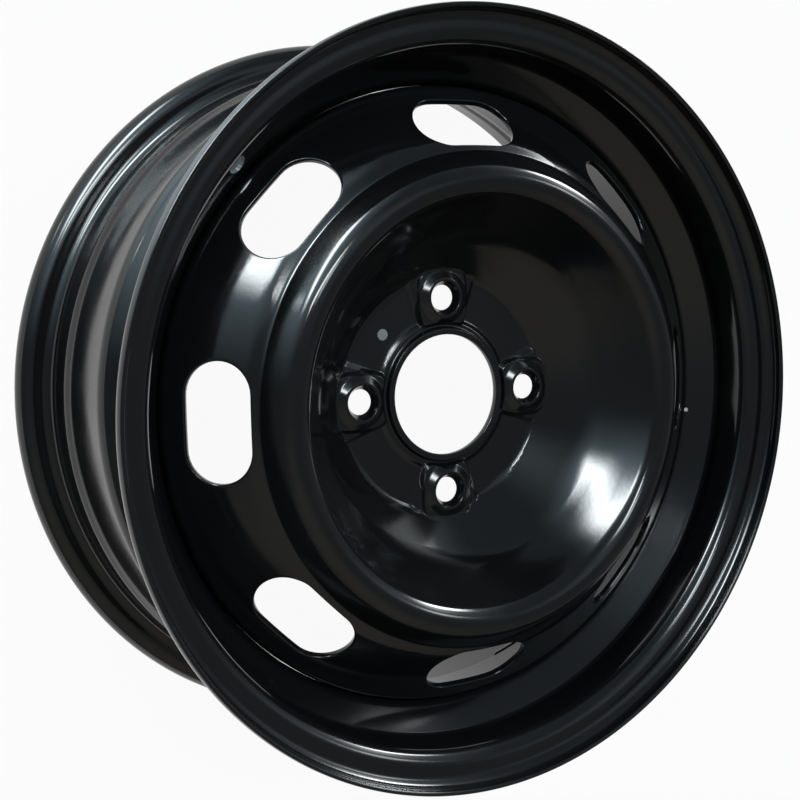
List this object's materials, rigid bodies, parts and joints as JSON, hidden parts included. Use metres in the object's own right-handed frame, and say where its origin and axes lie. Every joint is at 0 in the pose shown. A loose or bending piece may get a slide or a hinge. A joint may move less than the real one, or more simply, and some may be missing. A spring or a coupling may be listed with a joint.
{
  "type": "steel wheel rim",
  "caption": "Pressed steel car wheel: rolled drop-centre rim with a welded dished disc, bolt seats round a centre bore and a ring of oval vents.",
  "frame": {"origin": "on the wheel's axis, at the level of the inboard lip's edge that the wheel rests on", "axes": "+Z along the wheel's axis to the outboard face; a bolt hole lies on +X and the valve hole halfway between -X and +Y"},
  "size_m": [0.415, 0.415, 0.1781],
  "materials": {
    "black_paint": "smooth deep gloss black paint over pressed steel",
    "painted_weld": "gloss black paint over rippled weld beads"
  },
  "bodies": {
    "root": {"rim": "black_paint", "disc": "black_paint", "weld_bead_1": "painted_weld", "weld_bead_2": "painted_weld", "weld_bead_3": "painted_weld", "weld_bead_4": "painted_weld", "weld_bead_5": "painted_weld", "weld_bead_6": "painted_weld", "weld_bead_7": "painted_weld", "weld_bead_8": "painted_weld"}
  },
  "joints": []
}
